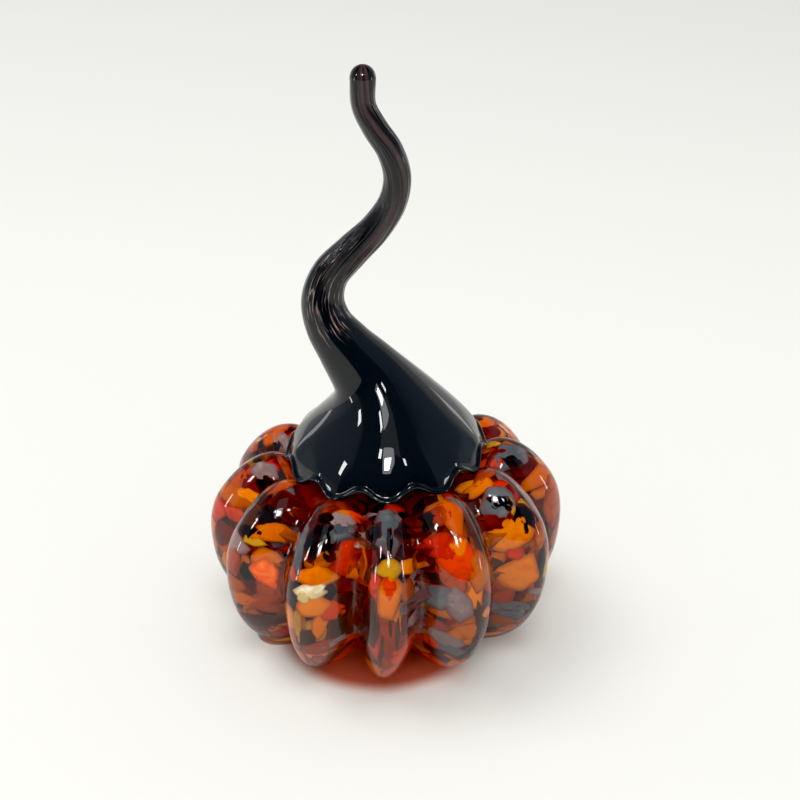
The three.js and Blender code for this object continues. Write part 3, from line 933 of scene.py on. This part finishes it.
def add_floor():
    """Pale paper, with painted shade that makes it a little darker far away and a painted red-brown
    shadow under the front of the glass.
    """
    bpy.ops.mesh.primitive_plane_add(size=FLOOR_SIZE, location=(0, 0, -FLOOR_DROP))
    floor = bpy.context.object
    floor.name = "paper"
    mat, nodes, links = new_material("paper")
    shader = nodes["Principled BSDF"]
    shader.inputs["Roughness"].default_value = PAPER_ROUGHNESS
    shader.inputs["Specular IOR Level"].default_value = PAPER_SPECULAR
    coords = nodes.new("ShaderNodeTexCoord")
    split = nodes.new("ShaderNodeSeparateXYZ")
    links.new(coords.outputs["Object"], split.inputs["Vector"])
    # Painted shade, darker far away.
    far = map_range(nodes, links, split.outputs["Y"], *FAR_PAINTED_SHADE_RANGE)
    paper = mix_colours(nodes, links, far, PAPER, PAPER_FAR_PAINTED_SHADE)
    # Painted red-brown shadow near the front feet.
    distance = nodes.new("ShaderNodeVectorMath")
    distance.operation = "DISTANCE"
    distance.inputs[1].default_value = PAINTED_RED_SHADOW_CENTRE
    links.new(coords.outputs["Object"], distance.inputs[0])
    near = map_range(nodes, links, distance.outputs["Value"], *PAINTED_RED_SHADOW_EDGE, 1.0, 0.0)
    links.new(mix_colours(nodes, links, near, paper, PAPER_PAINTED_RED_SHADOW), shader.inputs["Base Color"])
    floor.data.materials.append(mat)


# What the glass mirrors all round: azimuth in degrees from the front to the right, and colour.
MIRRORED_SIDES = [
    (-180, (0.60, 0.60, 0.60)), (-130, (0.36, 0.40, 0.46)), (-62, (0.34, 0.39, 0.47)),
    (-57, (0.006, 0.008, 0.012)), (50, (0.006, 0.008, 0.012)), (55, (0.30, 0.37, 0.48)),
    (116, (0.34, 0.40, 0.52)), (124, (0.95, 0.95, 0.94)), (180, (0.60, 0.60, 0.60)),
]
# Brightness of those sides by the sine of the elevation.
MIRRORED_HEIGHTS = [
    (0.0, 1.0), (0.18, 1.0), (0.27, 0.62), (0.54, 0.62), (0.62, 0.6), (0.70, 0.4), (0.76, 0.03),
]

# Even light on matt surfaces.
SOFT_COLOUR = (1, 0.995, 0.985, 1)
SOFT_LIGHT = 0.62

# Rays that have met a matt surface see the even light too, not the room.
MATT_BOUNCES = 0.5


def colour_ramp(nodes, links, value, stops):
    """Colour ramp through (position, colour) stops, with positions from 0 to 1."""
    node = nodes.new("ShaderNodeValToRGB")
    elements = node.color_ramp.elements
    elements.remove(elements[0])
    elements[0].position = stops[0][0]
    elements[0].color = (*stops[0][1], 1)
    for position, colour in stops[1:]:
        elements.new(position).color = (*colour, 1)
    links.new(value, node.inputs["Fac"])
    return node.outputs["Color"]


def add_world():
    """Even light for matt surfaces, and a room with pale sides and a dark front for glass."""
    world = bpy.data.worlds.new("surroundings")
    world.use_nodes = True
    bpy.context.scene.world = world
    nodes, links = world.node_tree.nodes, world.node_tree.links
    coords = nodes.new("ShaderNodeTexCoord")
    split = nodes.new("ShaderNodeSeparateXYZ")
    links.new(coords.outputs["Generated"], split.inputs["Vector"])
    frontward = math_node(nodes, links, "MULTIPLY", split.outputs["Y"], -1)
    azimuth = math_node(nodes, links, "ARCTAN2", split.outputs["X"], frontward)
    around = nodes.new("ShaderNodeMapRange")
    around.inputs["From Min"].default_value = -math.pi
    around.inputs["From Max"].default_value = math.pi
    links.new(azimuth, around.inputs["Value"])
    side_stops = [((degrees + 180) / 360, colour) for degrees, colour in MIRRORED_SIDES]
    sides = colour_ramp(nodes, links, around.outputs["Result"], side_stops)
    height_stops = [(height, (value,) * 3) for height, value in MIRRORED_HEIGHTS]
    heights = colour_ramp(nodes, links, split.outputs["Z"], height_stops)
    both = nodes.new("ShaderNodeMix")
    both.data_type = "RGBA"
    both.blend_type = "MULTIPLY"
    both.inputs["Factor"].default_value = 1
    links.new(sides, both.inputs["A"])
    links.new(heights, both.inputs["B"])
    mirrored = nodes["Background"]
    links.new(both.outputs["Result"], mirrored.inputs["Color"])
    soft = nodes.new("ShaderNodeBackground")
    soft.inputs["Color"].default_value = SOFT_COLOUR
    soft.inputs["Strength"].default_value = SOFT_LIGHT
    path = nodes.new("ShaderNodeLightPath")
    through = math_node(nodes, links, "MAXIMUM", path.outputs["Is Glossy Ray"],
                        path.outputs["Is Transmission Ray"])
    direct = math_node(nodes, links, "LESS_THAN", path.outputs["Diffuse Depth"], MATT_BOUNCES)
    in_glass = math_node(nodes, links, "MULTIPLY", through, direct)
    choose = nodes.new("ShaderNodeMixShader")
    links.new(in_glass, choose.inputs["Fac"])
    links.new(soft.outputs["Background"], choose.inputs[1])
    links.new(mirrored.outputs["Background"], choose.inputs[2])
    links.new(choose.outputs["Shader"], nodes["World Output"].inputs["Surface"])


# Lamps that light matt surfaces: azimuth and elevation in degrees, and watts.
KEY_LIGHTS = {"left_key": (-110, 60, 8.6), "front_key": (8, 70, 11.5)}
KEY_DISTANCE = 1.6
KEY_SIZE = 0.8
LAMP_AIM = Vector((0, 0, 0.035))
LAMP_DISTANCE = 0.8

# Lamps that only show as highlights in the glass: azimuth, elevation, width and height in
# degrees as seen from the pumpkin, and brightness.
HIGHLIGHTS = {
    "window": (-2, 60, 22, 26, 0.4),
    "bulb": (-4, 42, 7, 7, 60),
    "halo": (-4, 43, 12, 14, 5),
    "bulb_left": (-18, 47, 3, 4, 30),
    "bulb_right": (19, 44, 4, 4, 25),
    "left_window": (-66, 31, 5, 9, 26),
    "left_strip": (-80, 3, 3, 14, 16),
    "right_strip": (84, 3, 3, 14, 12),
    "back_left_strip": (-136, 6, 5, 12, 2),
    "back_right_strip": (136, 6, 5, 12, 2),
}


def facing(azimuth, elevation):
    """Direction from the pumpkin; azimuth 0 is the front and grows to the right."""
    a = math.radians(azimuth)
    e = math.radians(elevation)
    return Vector((math.sin(a) * math.cos(e), -math.cos(a) * math.cos(e), math.sin(e)))


def add_light(name, direction, distance, width, length, watts):
    """Flat lamp that faces the pumpkin."""
    data = bpy.data.lights.new(name, "AREA")
    data.shape = "RECTANGLE"
    data.size = width
    data.size_y = length
    data.energy = watts
    light = bpy.data.objects.new(name, data)
    turn = direction.to_track_quat("Z", "Y").to_matrix().to_4x4()
    light.matrix_world = Matrix.Translation(direction * distance + LAMP_AIM) @ turn
    bpy.context.collection.objects.link(light)
    return light


def add_highlight(name, azimuth, elevation, wide, tall, brightness):
    """Lamp that shows in the glass but doesn't light matt surfaces."""
    width = 2 * LAMP_DISTANCE * math.tan(math.radians(wide / 2))
    length = 2 * LAMP_DISTANCE * math.tan(math.radians(tall / 2))
    watts = brightness * math.pi * width * length
    light = add_light(name, facing(azimuth, elevation), LAMP_DISTANCE, width, length, watts)
    light.visible_diffuse = False
    light.visible_transmission = False


def add_key_light(name, azimuth, elevation, watts):
    """Lamp that lights matt surfaces but doesn't show in the glass."""
    light = add_light(name, facing(azimuth, elevation), KEY_DISTANCE, KEY_SIZE, KEY_SIZE, watts)
    light.visible_glossy = False


# Light that the orange glass throws on the paper under its front feet.
GLOW_ANGLES = (-24, -8, 8, 24)
GLOW_WATTS = 0.00003
GLOW_COLOUR = (1.0, 0.16, 0.03)
GLOW_SIZE = 10 * MM
GLOW_REACH = 24 * MM
GLOW_HEIGHT = 1.6 * MM


def add_foot_glow():
    """Faint lamps that shine down on the paper, each with a name of its own."""
    for i, degrees in enumerate(GLOW_ANGLES):
        data = bpy.data.lights.new("foot_glow", "AREA")
        data.shape = "DISK"
        data.size = GLOW_SIZE
        data.energy = GLOW_WATTS
        data.color = GLOW_COLOUR
        light = bpy.data.objects.new(f"foot_glow_{i}", data)
        light.visible_glossy = False
        light.location = facing(degrees, 0) * GLOW_REACH + Vector((0, 0, GLOW_HEIGHT))
        bpy.context.collection.objects.link(light)


add_floor()
add_world()
for name, numbers in HIGHLIGHTS.items():
    add_highlight(name, *numbers)
for name, numbers in KEY_LIGHTS.items():
    add_key_light(name, *numbers)
add_foot_glow()

# The photograph's own contrast: what counts as black and as white.
BLACK_POINT = 0.008
WHITE_POINT = 1.0

scene = bpy.context.scene
scene.view_settings.view_transform = "Standard"
scene.view_settings.use_curve_mapping = True
scene.view_settings.curve_mapping.black_level = (BLACK_POINT,) * 3
scene.view_settings.curve_mapping.white_level = (WHITE_POINT,) * 3
